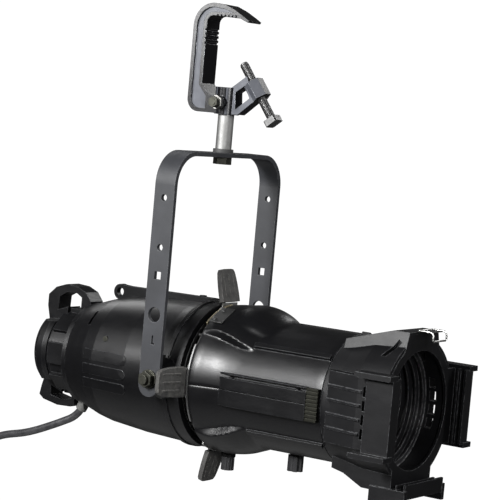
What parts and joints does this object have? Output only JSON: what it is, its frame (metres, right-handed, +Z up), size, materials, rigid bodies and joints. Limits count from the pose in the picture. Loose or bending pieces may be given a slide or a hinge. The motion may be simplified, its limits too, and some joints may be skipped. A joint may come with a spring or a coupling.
{
  "type": "ellipsoidal spotlight",
  "caption": "Profile spotlight on a yoke and pipe clamp, with shutters, sliding lens tube, colour frame holder and rear burner.",
  "frame": {"origin": "centre of the pipe that the clamp grips", "axes": "+X along the gripped pipe, from the near yoke arm to the far one; the beam leaves along -Y at rest; +Z up"},
  "size_m": [0.2976, 0.78, 0.858],
  "materials": {
    "clamp_iron": "gloss black paint, rubbed bright on the raised faces",
    "zinc": "zinc plated",
    "black_fibre": "dull",
    "yoke_paint": "fine textured satin black powder coat",
    "black_casting": "fine textured satin black powder coat on die-cast aluminium",
    "plain_steel": "plain",
    "dark_zinc": "darkened zinc plate",
    "mirror_metal": "faceted reflector",
    "black_plastic": "moulded",
    "ceramic_white": "unglazed",
    "lamp_metal": "plain",
    "lamp_glass": "clear quartz",
    "cord_jacket": "dull grey-black heat-resistant sleeve",
    "gland_plastic": "moulded grey",
    "brass_pins": "plain",
    "grip_fibre": "grey-brown moulded fibre",
    "black_sheet": "black anodised",
    "lens_glass": "clear, coated",
    "clip_steel": "spring steel, plain"
  },
  "bodies": {
    "clamp": {"clamp_hook": "clamp_iron", "pan_lock_nut": "zinc"},
    "pipe_screw": {"pipe_bolt": "zinc"},
    "pan_lock": {"pan_lock_screw": "zinc"},
    "yoke": {"stud": "zinc", "strap_washer": "black_fibre", "yoke_bolt": "zinc", "yoke_strap": "yoke_paint", "yoke_arm_near": "yoke_paint", "yoke_arm_far": "yoke_paint"},
    "housing": {"reflector_housing": "black_casting", "housing_rail": "black_casting", "housing_screws": "dark_zinc", "reflector": "mirror_metal", "pivot_bolt_near": "zinc", "pivot_nut_near": "zinc", "pivot_washer_near": "zinc", "pivot_bolt_far": "zinc", "pivot_washer_far": "zinc"},
    "tilt_lock": {"tilt_lock_knob": "black_casting"},
    "burner": {"burner_body": "black_casting", "burner_cap": "black_casting", "lamp_socket": "ceramic_white", "lamp_base": "lamp_metal", "lamp_glass": "lamp_glass", "lamp_filament": "lamp_metal", "cord_gland": "gland_plastic", "cord_lead": "cord_jacket", "cord_coil": "cord_jacket", "cord_tie": "black_plastic", "cord_tail": "cord_jacket", "plug_body": "black_plastic", "plug_pins": "brass_pins"},
    "burner_screw": {"burner_screw": "zinc"},
    "centring": {"centring_knob": "black_plastic"},
    "peak": {"peak_knob": "black_plastic"},
    "barrel": {"gate_rear_plate": "plain_steel", "gate_front_plate": "plain_steel", "barrel_upper": "black_casting", "barrel_lower": "black_casting", "barrel_end_near": "dark_zinc", "barrel_end_far": "dark_zinc", "barrel_screws": "plain_steel", "slot_cover": "black_sheet"},
    "shutter_top": {"shutter_top": "plain_steel", "grip_top": "grip_fibre"},
    "shutter_bottom": {"shutter_bottom": "plain_steel", "grip_bottom": "grip_fibre"},
    "shutter_near": {"shutter_near": "plain_steel", "grip_near": "grip_fibre"},
    "shutter_far": {"shutter_far": "plain_steel", "grip_far": "grip_fibre"},
    "rotation_lock": {"rotation_knob": "black_plastic"},
    "lens": {"lens_tube": "black_sheet", "lens_nose": "black_casting", "lens": "lens_glass", "lens_ring": "black_sheet", "lens_baffles": "black_sheet"},
    "focus_lock": {"focus_knob": "black_plastic", "focus_stub": "zinc"},
    "frame_clip": {"frame_clip": "clip_steel"}
  },
  "joints": [
    {"name": "pipe_screw_travel", "type": "slide", "parent": "clamp", "child": "pipe_screw", "axis": [0, 0.599, 0.8007], "range_m": [-0.028, 0.024]},
    {"name": "pan_lock_turn", "type": "hinge", "parent": "clamp", "child": "pan_lock", "pos_m": [-0.03, -0.008, -0.089], "axis": [-1, 0, 0], "range_deg": [-30, 330]},
    {"name": "pan", "type": "hinge", "parent": "clamp", "child": "yoke", "pos_m": [0, -0.008, -0.111], "axis": [0, 0, 1], "continuous": true},
    {"name": "tilt", "type": "hinge", "parent": "yoke", "child": "housing", "pos_m": [0, -0.008, -0.461], "axis": [-1, 0, 0], "range_deg": [-90, 10]},
    {"name": "tilt_lock_turn", "type": "hinge", "parent": "housing", "child": "tilt_lock", "pos_m": [0.14, -0.008, -0.461], "axis": [1, 0, 0], "range_deg": [-150, 10]},
    {"name": "burner_withdraw", "type": "slide", "parent": "housing", "child": "burner", "axis": [0, 1, 0], "range_m": [0, 0.16]},
    {"name": "burner_screw_turn", "type": "hinge", "parent": "burner", "child": "burner_screw", "pos_m": [0.036, 0.262, -0.441], "axis": [0, 1, 0], "range_deg": [-10, 340]},
    {"name": "centring_turn", "type": "hinge", "parent": "burner", "child": "centring", "pos_m": [0, 0.262, -0.461], "axis": [0, 1, 0], "range_deg": [-160, 160]},
    {"name": "peak_turn", "type": "hinge", "parent": "burner", "child": "peak", "pos_m": [0, 0.268, -0.461], "axis": [0, 1, 0], "range_deg": [-160, 160]},
    {"name": "barrel_rotation", "type": "hinge", "parent": "housing", "child": "barrel", "pos_m": [0, -0.048, -0.461], "axis": [0, 1, 0], "range_deg": [-25, 25]},
    {"name": "shutter_top_travel", "type": "slide", "parent": "barrel", "child": "shutter_top", "axis": [0, 0, 1], "range_m": [0, 0.07]},
    {"name": "shutter_bottom_travel", "type": "slide", "parent": "barrel", "child": "shutter_bottom", "axis": [0, 0, -1], "range_m": [0, 0.07]},
    {"name": "shutter_near_travel", "type": "slide", "parent": "barrel", "child": "shutter_near", "axis": [-1, 0, 0], "range_m": [0, 0.07]},
    {"name": "shutter_far_travel", "type": "slide", "parent": "barrel", "child": "shutter_far", "axis": [1, 0, 0], "range_m": [0, 0.07]},
    {"name": "rotation_lock_turn", "type": "hinge", "parent": "barrel", "child": "rotation_lock", "pos_m": [0, -0.06, -0.576], "axis": [0, 0, -1], "range_deg": [-30, 330]},
    {"name": "focus_travel", "type": "slide", "parent": "barrel", "child": "lens", "axis": [0, -1, 0], "range_m": [0, 0.05]},
    {"name": "focus_lock_turn", "type": "hinge", "parent": "lens", "child": "focus_lock", "pos_m": [0, -0.168, -0.556], "axis": [0, 0, -1], "range_deg": [-30, 330]},
    {"name": "frame_clip_lift", "type": "hinge", "parent": "lens", "child": "frame_clip", "pos_m": [0, -0.3454, -0.356], "axis": [-1, 0, 0], "range_deg": [0, 95]}
  ]
}
